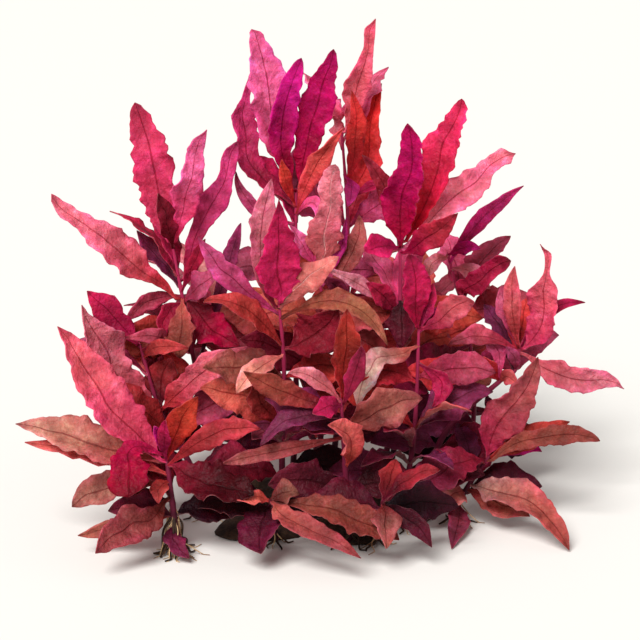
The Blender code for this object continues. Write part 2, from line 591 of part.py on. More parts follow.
FRONT_TRIES = [
    (swing, bend, slide, LEAF_LEAN + lean)
    for swing, bend, slide, lean in tries(
        (0.6, 1.6, 1.2, 22),
        (0, 4, -4, 8, -8, 13, -13, 19, -19, 26, -26, 34, -34),
        (0, 3, -3, 6, -6, 10, -10),
        (0, 2.5, -2.5, 5, -5, 8, -8),
        (0, 0.5, 1.3),
    )
]
HIDDEN_TRIES = tries(
    (0.5, 0.8, 1.0),
    (0, 9, -9, 18, -18, 27, -27, 36, -36),
    (0, 9, -9, 18, -18),
    (0, 3, -3, 6, -6, 9, -9),
)

counts = {}
for shoot, *leaf, tone in LARGE_LEAVES:
    counts[shoot] = counts.get(shoot, 0) + 1
    grown = grow(front_choices(stems[shoot], leaf, LARGE_OUTLINE, False), crowd)
    if grown:
        new_object(f"{shoot}_leaf_{counts[shoot]}", *grown, tone)

small = {shoot: [] for shoot in SHOOTS}
for shoot, *leaf, tone in SMALL_LEAVES:
    outline = SMALL_OUTLINE if math.dist(leaf[0], leaf[2]) > SMALL_REACH else PLAIN_OUTLINE
    grown = grow(front_choices(stems[shoot], leaf, outline, True), crowd, shoot)
    if grown:
        small[shoot].append((*grown, tone))

for shoot, shares, length, tone in INNER_PAIRS:
    for pair, share in enumerate(shares):
        for side in (-1, 1):
            right, up = look(stems[shoot].at(share * stems[shoot].length)[0])
            rise = INNER_LEAF_RISES[pair % 2]
            middle = (right + side * length * 0.42, up + length * rise * 0.6)
            tip = (right + side * length * INNER_LEAF_REACH, up + length * (rise - 0.1))
            leaf = ((right, up), middle, tip, length * INNER_LEAF_SLIM, 8 * side, 0)
            grown = grow(front_choices(stems[shoot], leaf, PLAIN_OUTLINE, True), crowd, shoot)
            if grown:
                small[shoot].append((*grown, tone))

for shoot, shares, length, ways, tone in HIDDEN_LEAVES:
    for pair, share in enumerate(shares):
        for way in ways:
            turned = way + 15 * (pair % 2)
            choices = hidden_choices(stems[shoot], share, length, turned)
            grown = grow(choices, crowd, shoot)
            if grown:
                small[shoot].append((*grown, tone))

for shoot, blades in small.items():
    if not blades:
        continue
    places = []
    faces = []
    tones = []
    for blade, corners, tone in blades:
        faces += [[len(places) + corner for corner in face] for face in corners]
        places += blade
        tones += [tone] * len(corners)
    graft = new_object(f"{shoot}_small_leaves", places, faces, tones[0])
    for tone in sorted(set(tones) - {tones[0]}):
        graft.data.materials.append(materials[tone])
    slots = [skin.name for skin in graft.data.materials]
    for face, tone in zip(graft.data.polygons, tones):
        face.material_index = slots.index(tone)
    graft.hide_render = True
    graft.display_type = "WIRE"
    join = bpy.data.objects[f"{shoot}_shoot"].modifiers.new("grown together", "BOOLEAN")
    join.operation = "UNION"
    join.solver = "EXACT"
    join.material_mode = "TRANSFER"
    join.object = graft
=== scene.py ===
"""A bushy clump of a red-leaved water plant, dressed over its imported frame.

The file follows the plant as it grows: the root crown, the stems, the large leaves, the small leaves and the
fine roots, then the floor, the light and the camera. Lengths are in millimetres until they reach a mesh.
"""

import json
import math
import random

import bmesh
import bpy
import numpy as np
from mathutils import Matrix, Vector, noise


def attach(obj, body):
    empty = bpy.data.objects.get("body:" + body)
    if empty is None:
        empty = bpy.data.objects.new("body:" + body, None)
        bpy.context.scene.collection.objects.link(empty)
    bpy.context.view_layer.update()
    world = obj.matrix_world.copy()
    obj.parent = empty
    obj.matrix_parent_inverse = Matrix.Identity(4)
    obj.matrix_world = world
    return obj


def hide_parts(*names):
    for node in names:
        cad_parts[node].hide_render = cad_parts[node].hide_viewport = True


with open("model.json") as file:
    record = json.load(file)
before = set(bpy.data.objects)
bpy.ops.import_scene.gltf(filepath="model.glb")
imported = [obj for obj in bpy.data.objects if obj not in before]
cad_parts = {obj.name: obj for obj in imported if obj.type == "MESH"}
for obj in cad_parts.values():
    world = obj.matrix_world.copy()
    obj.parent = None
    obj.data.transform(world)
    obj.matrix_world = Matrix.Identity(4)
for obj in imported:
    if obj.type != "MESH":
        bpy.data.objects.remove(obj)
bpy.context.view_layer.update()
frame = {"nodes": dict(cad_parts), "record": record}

# Root crown: a low mat of creeping stem bases and old roots, brown-black and matt. The plant is cut off flat
# under it, and every stem rises out of it.

MM = 0.001
CROWN_WELD = 0.01
CROWN_CUTS = 5
CROWN_SMOOTHING = 0.6
CROWN_FLAT_BELOW = 0.3
# Its lumps and then its fibres: how high they stand, and how many there are to the metre
CROWN_RELIEF = ((1.1, 90), (0.35, 420))


def paint(code):
    """An sRGB hex colour as the linear values that a shader takes."""
    parts = [int(code[place:place + 2], 16) / 255 for place in (1, 3, 5)]
    return [part / 12.92 if part <= 0.04045 else ((part + 0.055) / 1.055) ** 2.4 for part in parts] + [1]


def add(tree, kind, settings=(), **inputs):
    """Adds one shader node. An input goes by its name, with _ for a space, or by its number, as in0."""
    node = tree.nodes.new("ShaderNode" + kind)
    for name, value in dict(settings).items():
        setattr(node, name, value)
    for name, value in inputs.items():
        key = int(name[2:]) if name[:2] == "in" and name[2:].isdigit() else name.replace("_", " ")
        socket = node.inputs[key]
        if isinstance(value, bpy.types.NodeSocket):
            tree.links.new(value, socket)
        else:
            socket.default_value = value
    return node


def new_finish(name):
    """An empty material with its node tree, its Principled shader and nothing linked yet."""
    finish = bpy.data.materials.new(name)
    finish.use_nodes = True
    return finish, finish.node_tree, finish.node_tree.nodes["Principled BSDF"]


# Dead root bark: soaked, fibrous and almost black, with paler brown where the fibres stand proud. A noise's
# scale counts its features to the metre: here a fibre every 2.4 mm and a lump every 14 mm
root_bark, tree, shader = new_finish("soaked root bark")
places = add(tree, "TexCoord").outputs["Object"]
fibres = add(tree, "TexNoise", Vector=places, Scale=420, Detail=6, Roughness=0.65).outputs["Fac"]
lumps = add(tree, "TexNoise", Vector=places, Scale=70, Detail=3).outputs["Fac"]
mixed = add(tree, "Math", {"operation": "MULTIPLY"}, in0=fibres, in1=lumps).outputs[0]
ramp = add(tree, "ValToRGB", Fac=mixed)
ramp.color_ramp.elements[0].position = 0.14
ramp.color_ramp.elements[0].color = paint("#1c1010")
ramp.color_ramp.elements[1].position = 0.42
ramp.color_ramp.elements[1].color = paint("#59402f")
tree.links.new(ramp.outputs["Color"], shader.inputs["Base Color"])
bump = add(tree, "Bump", Height=fibres, Strength=0.7, Distance=0.0012)
tree.links.new(bump.outputs["Normal"], shader.inputs["Normal"])
shader.inputs["Roughness"].default_value = 0.85
shader.inputs["Specular IOR Level"].default_value = 0.25


def settle(piece, finish, slot, *nodes):
    """Gives a finished piece its material, and has it ride the plant in place of its nodes."""
    piece.data.materials.clear()
    piece.data.materials.append(finish)
    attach(piece, "root")
    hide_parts(*nodes)


def pick(*things):
    """Selects these objects alone, and makes the last one active."""
    bpy.ops.object.select_all(action="DESELECT")
    for thing in things:
        thing.select_set(True)
        bpy.context.view_layer.objects.active = thing


crown = frame["nodes"]["root_crown"].copy()
crown.data = crown.data.copy()
crown.parent = None
for key in [key for key in crown.keys() if key.startswith("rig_")]:
    del crown[key]
crown.name = "crown_mat"
bpy.context.scene.collection.objects.link(crown)
pick(crown)
bpy.ops.object.mode_set(mode="EDIT")
bpy.ops.mesh.select_all(action="SELECT")
bpy.ops.mesh.remove_doubles(threshold=CROWN_WELD * MM)
bpy.ops.mesh.subdivide(number_cuts=CROWN_CUTS)
bpy.ops.mesh.vertices_smooth(factor=CROWN_SMOOTHING, repeat=3)
bpy.ops.object.mode_set(mode="OBJECT")
for vertex in crown.data.vertices:
    if vertex.co.z > CROWN_FLAT_BELOW * MM:
        lump = sum(height * noise.noise(vertex.co * to_the_metre) for height, to_the_metre in CROWN_RELIEF)
        vertex.co += vertex.normal * lump * MM
    vertex.co.z = max(vertex.co.z, 0)
crown.data.shade_smooth()
settle(crown, root_bark, "root", "root_crown")

# Stems: round, soft and jointed, purple-black low down, partly as painted shade of the crowded interior, and
# wine-red near the tips, with a waxy skin. They swell a little where each pair of leaves leaves them.

# The front is seen from 900 mm away, 14 degrees above level, aimed at a point 92.5 mm up in that view
VIEW_RISE = math.radians(14)
VIEW_FAR = 900
VIEW_UP = 92.5
VIEW_ALONG = Vector((0, math.cos(VIEW_RISE), -math.sin(VIEW_RISE)))
VIEW_UPWARD = Vector((0, math.sin(VIEW_RISE), math.cos(VIEW_RISE)))
VIEW_POINT = VIEW_UPWARD * VIEW_UP - VIEW_ALONG * VIEW_FAR
LOWEST = 1.6
STEM_START = 2.0
STEM_STEPS = 12
STEM_SIDES = 10
STEM_FOOT_RADIUS = 1.75
STEM_TOP_RADIUS = 0.6
STEM_END_RADIUS = 0.15
STEM_END_LENGTH = 1.6
JOINT_SPACING = 15
JOINT_SWELL = 0.22
JOINT_LENGTH = 1.6
RED_FROM = 160
WELD = 0.001

# Where each stem meets the ground (x, y), then the places that it passes as (right, up, back) from the front
SHOOTS = {
    "upper_left": ((-40, -4), ((-58, 50, 6), (-68, 100, 10), (-74, 131, 14))),
    "top_centre": ((-14, 24), ((-12, 60, 28), (-12, 110, 30), (-12, 157, 30))),
    "tall_back": ((6, 44), ((12, 70, 54), (14, 135, 60), (11, 186, 62))),
    "right_centre": ((30, 6), ((38, 60, 6), (40, 102, 6), (40, 131, 8))),
    "right_back": ((56, 26), ((75, 32, 30), (75, 80, 38), (64, 125, 46))),
    "right_front": ((38, -32), ((47, 35, -32), (49.5, 88.5, -26))),
    "far_right": ((50, -2), ((62.5, 36, -2), (90, 62, 2), (98, 68, 4), (100, 79, 5))),
    "centre": ((-18, -32), ((-19, 32, -34), (-18, 70, -36), (-20.5, 101, -38))),
    "middle": ((2, 2), ((0, 50, 0), (3, 90, 0), (-2, 120, 2))),
    "centre_front": ((14, -54), ((12, 30, -58), (10.5, 52, -60))),
    "left_middle": ((-52, -16), ((-70, 30, -14), (-80, 47, -10), (-90, 80, -4))),
    "lower_left": ((-66, -66), ((-74, 2.5, -66), (-76, 18, -63), (-77.5, 25, -60))),
    "lower_centre": ((-21, -52), ((-24, -2, -64), (-25, 2, -76))),
    "front_right": ((27, -52), ((31, -2, -70), (31.5, 2, -84))),
    "lower_right": ((64, -22), ((74, 9.5, -26), (84, 23.5, -28))),
    "back_left": ((-34, 36), ((-46, 55, 62), (-52, 92, 74))),
    "back_right": ((36, 48), ((44, 55, 76), (50, 88, 86))),
    "back_centre": ((0, 62), ((-6, 45, 88), (-8, 74, 98))),
}


def seen(right, up, back):
    """The place that looks (right, up) from the front and lies that far back, never under the ground."""
    ray = VIEW_ALONG * VIEW_FAR + Vector((right, 0, 0)) + VIEW_UPWARD * (up - VIEW_UP)
    place = VIEW_POINT + ray * ((back - VIEW_POINT.y) / ray.y)
    if place.z < LOWEST:
        place = VIEW_POINT + ray * ((LOWEST - VIEW_POINT.z) / ray.z)
    return place


def smooth_line(points, steps):
    """Points along one smooth curve through the given ones, with that many steps between each two."""
    ends = [points[0] * 2 - points[1], *points, points[-1] * 2 - points[-2]]
    line = []
    for a, b, c, d in zip(ends, ends[1:], ends[2:], ends[3:]):
        for step in range(steps):
            t = step / steps
            line.append(
                b + (c - a) * (t / 2) + (a * 2 - b * 5 + c * 4 - d) * (t * t / 2)
                + (b * 3 - a - c * 3 + d) * (t * t * t / 2)
            )
    line.append(points[-1])
    return line


def tube(name, line, radii, sides):
    """A closed round tube along a line, from a bevelled curve."""
    curve = bpy.data.curves.new(name, "CURVE")
    curve.dimensions = "3D"
    curve.bevel_depth = MM
    curve.bevel_resolution = (sides - 4) // 2
    curve.use_fill_caps = True
    spline = curve.splines.new("POLY")
    spline.points.add(len(line) - 1)
    for point, place, radius in zip(spline.points, line, radii):
        point.co = (*(place * MM), 1)
        point.radius = radius
    thing = bpy.data.objects.new(name, curve)
    bpy.context.scene.collection.objects.link(thing)
    pick(thing)
    bpy.ops.object.convert(target="MESH")
    bpy.ops.object.mode_set(mode="EDIT")
    bpy.ops.mesh.select_all(action="SELECT")
    bpy.ops.mesh.remove_doubles(threshold=WELD * MM)
    bpy.ops.mesh.normals_make_consistent(inside=False)
    bpy.ops.object.mode_set(mode="OBJECT")
    thing.data.shade_smooth()
    return thing


# Living stem skin: waxy and smooth, purple-black at the foot (partly painted shade) and wine-red from 160 mm
# up, with patches 8 mm across that shift the change up and down
stem_skin, tree, shader = new_finish("waxy stem skin")
places = add(tree, "TexCoord").outputs["Object"]
height = add(tree, "SeparateXYZ", Vector=places).outputs["Z"]
patches = add(tree, "TexNoise", Vector=places, Scale=120, Detail=3).outputs["Fac"]
rise = add(tree, "MapRange", Value=height, From_Min=0.0, From_Max=RED_FROM * MM).outputs["Result"]
shift = add(tree, "Math", {"operation": "MULTIPLY_ADD"}, in0=patches, in1=0.5, in2=rise).outputs[0]
ramp = add(tree, "ValToRGB", Fac=shift)
ramp.color_ramp.elements[0].position = 0.25
ramp.color_ramp.elements[0].color = paint("#240b16")
ramp.color_ramp.elements[1].position = 1.0
ramp.color_ramp.elements[1].color = paint("#a82850")
tree.links.new(ramp.outputs["Color"], shader.inputs["Base Color"])
bump = add(tree, "Bump", Height=patches, Strength=0.2, Distance=0.0003)
tree.links.new(bump.outputs["Normal"], shader.inputs["Normal"])
shader.inputs["Roughness"].default_value = 0.5
shader.inputs["Specular IOR Level"].default_value = 0.12

stem_lines = {}
for shoot, (foot, passes) in SHOOTS.items():
    start = Vector((*foot, STEM_START))
    line = smooth_line([start, *(seen(*place) for place in passes)], STEM_STEPS)
    stem_lines[shoot] = line
    gone = 0.0
    radii = []
    for index, place in enumerate(line):
        gone += (place - line[index - 1]).length if index else 0
        off_joint = gone % JOINT_SPACING - JOINT_SPACING / 2
        swell = JOINT_SWELL * math.exp(-(off_joint / JOINT_LENGTH) ** 2)
        radii.append(STEM_FOOT_RADIUS + (STEM_TOP_RADIUS - STEM_FOOT_RADIUS) * index / len(line) + swell)
    line = [*line, line[-1] + (line[-1] - line[-2]).normalized() * STEM_END_LENGTH]
    radii.append(STEM_END_RADIUS)
    stem = tube(f"{shoot}_stem", line, radii, STEM_SIDES)
    settle(stem, stem_skin, "stem", f"{shoot}_shoot")

# Large leaves: thin lance-shaped blades, each on a short stalk, red above and paler below. A young blade is
# glossy, pink or magenta; an old one is dull and brownish. The margin waves, and side veins quilt the blade.

LEAF_ROWS = 46
LEAF_COLUMNS = 12
BLADE_THICKNESS = 0.42
STALK_THICKNESS = 1.5
STALK_HALF_WIDTH = 0.75
STALK_SHARE = 0.09
RIB_THICKENING = 0.30
RIB_HALF_WIDTH = 0.7
RIB_TAPER = 0.7
LEAST_HALF_WIDTH = 0.12
# A solid leaf: half its midrib's thickness, how closely the edges at its tip run the same way, how broad
# it is at least there and at its foot, and where its rings lie along it
SOLID_HALF_RIB = 0.45
TIP_ALIKE = 0.72
TIP_BREADTH = 2.4
FOOT_BREADTH = 2.2
LARGE_SHARES = (0.05, 0.18, 0.36, 0.55, 0.74, 0.90)
SMALL_SHARES = (0.08, 0.34, 0.60, 0.84)
PLAIN_SHARES = (0.10, 0.44, 0.76)
# The marks along a leaf where its half widths are given, and the usual half widths there
MARKS = (0.15, 0.30, 0.45, 0.60, 0.75, 0.90)
USUAL_OUTLINE = (0.38, 0.80, 1.00, 0.98, 0.76, 0.38)
OUTLINE_SPREAD = (0.80, 1.14)
OUTLINE_STEPS = 4
STALK_END = (0.06, 0.5, 0.5)
STALK_FLARE = 0.18
TIP_ENDS = ((0.95, 0.5), (0.98, 0.2))
USUAL_BLUNTNESS = 0.8
LEAST_SEEN = 0.62
# The lift of a blade as a share of its half width: the fold at the midrib, the wave along the margin that
# the solid has, and ruffles as (to the bend, height, layer of noise)
MIDRIB_FOLD = 0.24
FOLD_SPREAD = (0.5, 1.7)
FOLD_CURVE = 1.3
MARGIN_WAVE = 0.13
RUFFLE_LENGTH = 15
RUFFLE_SPREAD = (0.8, 1.2)
RUFFLE = 0.20
RUFFLES = ((2.2, 2.2, 0), (5.5, 1.0, 9))
RUFFLE_CURVE = 2.2
# The margin's bites and bulges, in the same order, and a blade's crumpling as (to the millimetre, height)
NIBBLES = ((3.6, 0.30, 5), (9.0, 0.09, 7))
CRUMPLES = ((0.13, 0.8), (0.30, 0.6))
BROAD_FROM = 4
# The side veins' quilting: their sweep to the tip, their depth, and their pairs on a leaf of any length
VEIN_SWEEP = 1.25
VEIN_DEPTH = 0.06
LEAST_PAIRS = 7
PAIR_LENGTH = 14
# A leaf's turn about its midrib in degrees, less on one whose outline is given, and how its tip curls in mm
TWIST = 26
SEEN_TWIST = 0.25
TWIST_CENTRE = 0.4
CURL = (-2.0, 2.2)
CURL_FROM = 0.7
# A leaf's age, which is full near the ground, and the spread of shades among leaves of one tone
AGE = (0.3, 1)
LEAST_AGE = 0.05
GROUND_AGE = 1.35
AGE_HEIGHT = 110
SHADE = (0.75, 1.2)
GREEN_SHARE = (0.8, 1.12)
BLUE_SHARE = (0.75, 1.25)
PIGMENT_DEPTH = 0.86
GLOSS_WHITE = 0.022
GLOSS_SHARE = 0.5


class Blade:
    """One leaf read off its solid: the curve of its midrib, the way its upper side faces, and its width."""

    def __init__(self, tip, rings, shares):
        ribs, self.faces, self.shares, halves = [], [], shares, []
        for ring in rings:
            spots = [vertex.co * 1000 for vertex in ring]
            pairs = [(a, b) for a in spots for b in spots if a is not b]
            left, right = max(pairs, key=lambda pair: (pair[0] - pair[1]).length)
            margin = (left + right) / 2
            others = [spot for spot in spots if spot is not left and spot is not right]
            if len(others) == 2:
                rib = (others[0] + others[1]) / 2
                face = (others[0] - others[1]).normalized()
                if face.dot(margin - rib) < 0:
                    face = -face
            else:
                face = (margin - others[0]).normalized()
                rib = others[0] + face * SOLID_HALF_RIB
            ribs.append(rib)
            self.faces.append(face)
            halves.append((left - right).length / 2)
        self.tip = tip
        self.width = 2 * max(halves)
        equations = np.array([[(1 - t) ** 2, 2 * t * (1 - t)] for t in shares])
        values = np.array([rib - tip * (t * t) for rib, t in zip(ribs, shares)])
        solved = np.linalg.lstsq(equations, values, rcond=None)[0]
        self.start, self.pull = Vector(solved[0]), Vector(solved[1])
        self.length = ((self.pull - self.start).length + (self.tip - self.pull).length
                       + (self.tip - self.start).length) / 2

    def at(self, share):
        """The midrib's place, its way to the tip and the upper side's facing, at a share of its length."""
        t = min(max(share, 0), 1)
        place = self.start * (1 - t) ** 2 + self.pull * (2 * t * (1 - t)) + self.tip * t**2
        along = ((self.pull - self.start) * (1 - t) + (self.tip - self.pull) * t).normalized()
        after = next((i for i, mark in enumerate(self.shares) if mark >= t), len(self.shares) - 1)
        before = max(after - 1, 0)
        span = self.shares[after] - self.shares[before]
        mix = min(max((t - self.shares[before]) / span, 0), 1) if span else 0
        face = self.faces[before].lerp(self.faces[after], mix)
        face = (face - along * face.dot(along)).normalized()
        return place, along, face


def blades_of(node):
    """Every leaf of a node, found by its tip: a pole that all its neighbours lie behind."""
    form = bmesh.new()
    form.from_mesh(frame["nodes"][node].data)
    bmesh.ops.remove_doubles(form, verts=form.verts, dist=WELD * MM)
    found = []
    for pole in form.verts:
        ring = [edge.other_vert(pole) for edge in pole.link_edges]
        if len(ring) not in (3, 4) or len(pole.link_faces) != len(ring):
            continue
        ways = [(vertex.co - pole.co).normalized() for vertex in ring]
        spread = sum(ways, Vector()).length / len(ways)
        broad = max((a.co - b.co).length for a in ring for b in ring)
        if spread < TIP_ALIKE or broad < TIP_BREADTH * MM:
            continue
        rings, behind = [ring], {pole}
        while broad > FOOT_BREADTH * MM:
            after = {edge.other_vert(vertex) for vertex in ring for edge in vertex.link_edges}
            after -= set(ring) | behind
            if len(after) != len(ring):
                break
            behind, ring = set(ring), list(after)
            rings.append(ring)
            broad = max((a.co - b.co).length for a in ring for b in ring)
        shares = LARGE_SHARES if "_leaf_" in node else SMALL_SHARES if len(ring) == 4 else PLAIN_SHARES
        if 2 <= len(rings) <= len(shares):
            rings.reverse()
            found.append(Blade(pole.co * 1000, rings, shares[-len(rings):]))
    form.free()
    return found


def nearest(line, place):
    """The point of a stem's line that lies nearest to a place."""
    return min(line, key=lambda point: (point - place).length)


def pigment(code, tints=(1, 1, 1)):
    """The pigment under a seen colour: purer than it looks, since the skin's own gloss adds some white."""
    parts = paint(code)[:3]
    grey = min(min(parts) * GLOSS_SHARE, GLOSS_WHITE)
    return [(part - grey) * PIGMENT_DEPTH * tint for part, tint in zip(parts, tints)] + [1]


def margins(blade, seed, seen_halves, bluntness):
    """The two half widths of a leaf along its length, as rows of share, left, right."""
    place, along, face = blade.at(0.5)
    view = (place - VIEW_POINT).normalized()
    if seen_halves:
        flat = max(LEAST_SEEN, math.sqrt(1 - along.cross(face).dot(view) ** 2))
        halves = [(left / flat, right / flat) for left, right in zip(*seen_halves)]
        if face.dot(view) > 0:
            halves = [(right, left) for left, right in halves]
    else:
        halves = [
            [blade.width / 2 * full * seed.uniform(*OUTLINE_SPREAD) for side in ("left", "right")]
            for full in USUAL_OUTLINE
        ]
    first, last = Vector((0, *halves[0])), Vector((0, *halves[-1]))
    rows = [
        Vector((0, STALK_HALF_WIDTH, STALK_HALF_WIDTH)), first * STALK_FLARE + Vector(STALK_END),
        *(Vector((mark, *pair)) for mark, pair in zip(MARKS, halves)),
        *(last * narrowing**bluntness + Vector((mark, 0, 0)) for mark, narrowing in TIP_ENDS),
        Vector((1, 0, 0)),
    ]
    return np.array([tuple(row) for row in smooth_line(rows, OUTLINE_STEPS)])


def leaf(title, blade, stem, rows, columns, foot, tip, seen_halves=None, bluntness=USUAL_BLUNTNESS):
    """One leaf: a grid laid along the midrib, folded, waved and quilted, then given its thickness."""
    seed = random.Random(f"{blade.tip.x:.1f} {blade.tip.z:.1f}")
    age = seed.uniform(*AGE) * min(1, max(LEAST_AGE, GROUND_AGE - blade.start.z / AGE_HEIGHT))
    shade = seed.uniform(*SHADE)
    tints = [1, 1, 1]
    if not seen_halves:
        tints = [shade, shade * seed.uniform(*GREEN_SHARE), shade * seed.uniform(*BLUE_SHARE)]
    phases = seed.random() * 6, seed.random() * 6
    bends = blade.length / RUFFLE_LENGTH * seed.uniform(*RUFFLE_SPREAD)
    twist = math.radians(seed.uniform(-TWIST, TWIST)) * (SEEN_TWIST if seen_halves else 1)
    curl = seed.uniform(*CURL)
    fold = MIDRIB_FOLD * seed.uniform(*FOLD_SPREAD)
    pairs = LEAST_PAIRS + round(blade.length / PAIR_LENGTH)
    edges = margins(blade, seed, seen_halves, bluntness)
    bpy.ops.mesh.primitive_grid_add(x_subdivisions=rows, y_subdivisions=columns, size=2)
    thing = bpy.context.object
    thing.name = thing.data.name = title
    mesh = thing.data
    root = nearest(stem, blade.start)
    marks = [0, *blade.shares[1:], 1]
    weights = []
    faces = []
    for vertex in mesh.vertices:
        # The grid's first row lies behind the leaf's foot, on the stem
        share = ((vertex.co.x + 1) / 2 * rows - 1) / (rows - 1)
        across = vertex.co.y
        away = abs(across)
        left = across < 0
        middle, along, face = blade.at(share)
        if share < 0:
            middle = root
        face.rotate(Matrix.Rotation(twist * (share - TWIST_CENTRE) * 2, 3, along))
        side = along.cross(face)
        left_half, right_half = (np.interp(share, edges[:, 0], edges[:, part]) for part in (1, 2))
        half = max((left_half + right_half) / 2, LEAST_HALF_WIDTH)
        middle = middle + side * (right_half - left_half) / 2
        broad = min(1, max(half - STALK_HALF_WIDTH, 0) / BROAD_FROM)
        step = np.interp(share, marks, range(len(marks)))
        wave = -MARGIN_WAVE * math.cos(math.pi * step) * (1 if left else -1)
        ripple = 0
        for pace, height, layer in RUFFLES:
            ripple += noise.noise(Vector((share * bends * pace, phases[left], layer))) * height * RUFFLE
        margin_lift = wave * away**2 + ripple * away**RUFFLE_CURVE
        rise = half * (fold * away**FOLD_CURVE + broad * margin_lift)
        vein = math.cos(math.tau * (pairs * share - VEIN_SWEEP * away**FOLD_CURVE + 0.5 * left))
        rise -= VEIN_DEPTH * vein * min(1, 3 * away) * (1 - away**6) * broad
        spot = middle + side * across * half
        rise += broad * sum(height * noise.noise(spot * pace) for pace, height in CRUMPLES)
        for pace, depth, layer in NIBBLES:
            bite = noise.noise(Vector((share * bends * pace, phases[left], layer)))
            half *= 1 + depth * away * broad * bite
        rise += curl * (max(0, share - CURL_FROM) / (1 - CURL_FROM)) ** 2
        vertex.co = (middle + side * across * half + face * rise) * MM
        faces.append(face)
        rib = RIB_THICKENING * math.exp(-((across * half / RIB_HALF_WIDTH) ** 2)) * (1 - RIB_TAPER * share)
        stalk = max(1 - max(share, 0) / STALK_SHARE, 0)
        weights.append(min(1, stalk + rib))
    group = thing.vertex_groups.new(name="thickness")
    for index, weight in enumerate(weights):
        group.add([index], weight, "REPLACE")
    solid = thing.modifiers.new("thickness", "SOLIDIFY")
    solid.thickness = STALK_THICKNESS * MM
    solid.offset = 0
    solid.vertex_group = "thickness"
    solid.thickness_vertex_group = BLADE_THICKNESS / STALK_THICKNESS
    bpy.ops.object.modifier_apply(modifier="thickness")
    thing.vertex_groups.clear()
    # The thickness keeps the grid's points on one side and adds the other side's after them
    count = len(faces)
    under = [0.0] * len(mesh.vertices)
    for index, face in enumerate(faces):
        above, below = index, index + count
        if (mesh.vertices[above].co - mesh.vertices[below].co).dot(face) < 0:
            above, below = below, above
        under[below] = 1.0
    mesh.attributes.new("underside", "FLOAT", "POINT").data.foreach_set("value", under)
    mesh.attributes.new("age", "FLOAT", "POINT").data.foreach_set("value", [age] * len(under))
    for label, code in (("foot_colour", foot), ("tip_colour", tip)):
        shown = mesh.attributes.new(label, "FLOAT_COLOR", "POINT")
        shown.data.foreach_set("color", pigment(code, tints) * len(under))
    mesh.shade_smooth()
    return thing


# Living leaf skin: satin, and light passes a little way into it. The veins are sunk and darker above, and
# paler below. The foot and the tip of each leaf have their own colours, which run into each other in patches
# 13 mm across; the mottling is 4 mm across and the grain 1.5 mm
leaf_skin, tree, shader = new_finish("satin leaf skin")
place = add(tree, "UVMap", {"uv_map": "UVMap"}).outputs["UV"]
split = add(tree, "SeparateXYZ", Vector=place)
along = split.outputs["X"]
across = split.outputs["Y"]
signed = add(tree, "Math", {"operation": "MULTIPLY_ADD"}, in0=across, in1=2.0, in2=-1.0).outputs[0]
away = add(tree, "Math", {"operation": "ABSOLUTE"}, in0=signed).outputs[0]
age = add(tree, "Attribute", {"attribute_name": "age"}).outputs["Fac"]
under = add(tree, "Attribute", {"attribute_name": "underside"}).outputs["Fac"]
foot_colour = add(tree, "Attribute", {"attribute_name": "foot_colour"}).outputs["Color"]
tip_colour = add(tree, "Attribute", {"attribute_name": "tip_colour"}).outputs["Color"]
spot = add(tree, "TexCoord").outputs["Object"]
soft = add(tree, "TexNoise", Vector=spot, Scale=75, Detail=3).outputs["Fac"]
fine = add(tree, "TexNoise", Vector=spot, Scale=650, Detail=2).outputs["Fac"]
mottle = add(tree, "TexNoise", Vector=spot, Scale=230, Detail=3, Roughness=0.6).outputs["Fac"]
# The foot colour, darker than the tip on most leaves, is partly the leaf's own and partly painted shade
drift = add(tree, "Math", {"operation": "MULTIPLY_ADD"}, in0=soft, in1=0.5, in2=-0.25).outputs[0]
blend = add(tree, "Math", {"operation": "ADD"}, in0=along, in1=drift).outputs[0]
blend = add(
    tree, "MapRange", {"interpolation_type": "SMOOTHSTEP"}, Value=blend, From_Min=0.12, From_Max=0.75,
).outputs["Result"]
blade_colour = add(
    tree, "Mix", {"data_type": "RGBA"}, in0=blend, in6=foot_colour, in7=tip_colour,
).outputs[2]
# Side veins leave the midrib in turn, left and right, and bend to the tip as they near the margin; they fade
# out before it
bent = add(tree, "Math", {"operation": "POWER"}, in0=away, in1=FOLD_CURVE).outputs[0]
turned = add(tree, "Math", {"operation": "LESS_THAN"}, in0=signed, in1=0.0).outputs[0]
turned = add(tree, "Math", {"operation": "MULTIPLY"}, in0=turned, in1=0.5).outputs[0]
count = add(tree, "Math", {"operation": "MULTIPLY_ADD"}, in0=along, in1=11.0, in2=turned).outputs[0]
count = add(tree, "Math", {"operation": "MULTIPLY_ADD"}, in0=soft, in1=1.2, in2=count).outputs[0]
phase = add(tree, "Math", {"operation": "MULTIPLY_ADD"}, in0=bent, in1=-VEIN_SWEEP, in2=count).outputs[0]
phase = add(tree, "Math", {"operation": "FRACT"}, in0=phase).outputs[0]
phase = add(tree, "Math", {"operation": "PINGPONG"}, in0=phase, in1=0.5).outputs[0]
side_vein = add(
    tree, "MapRange", {"interpolation_type": "SMOOTHSTEP"}, Value=phase, From_Min=0.015, From_Max=0.09,
    To_Min=1.0, To_Max=0.0,
).outputs["Result"]
fade = add(tree, "MapRange", Value=away, From_Min=0.55, From_Max=1.0, To_Min=1.0, To_Max=0.0)
fade = fade.outputs["Result"]
fade = add(tree, "Math", {"operation": "MULTIPLY"}, in0=fade, in1=0.22).outputs[0]
side_vein = add(tree, "Math", {"operation": "MULTIPLY"}, in0=side_vein, in1=fade).outputs[0]
midrib = add(
    tree, "MapRange", {"interpolation_type": "SMOOTHSTEP"}, Value=away, From_Min=0.01, From_Max=0.07,
    To_Min=1.0, To_Max=0.0,
).outputs["Result"]
veins = add(tree, "Math", {"operation": "MAXIMUM"}, in0=side_vein, in1=midrib).outputs[0]
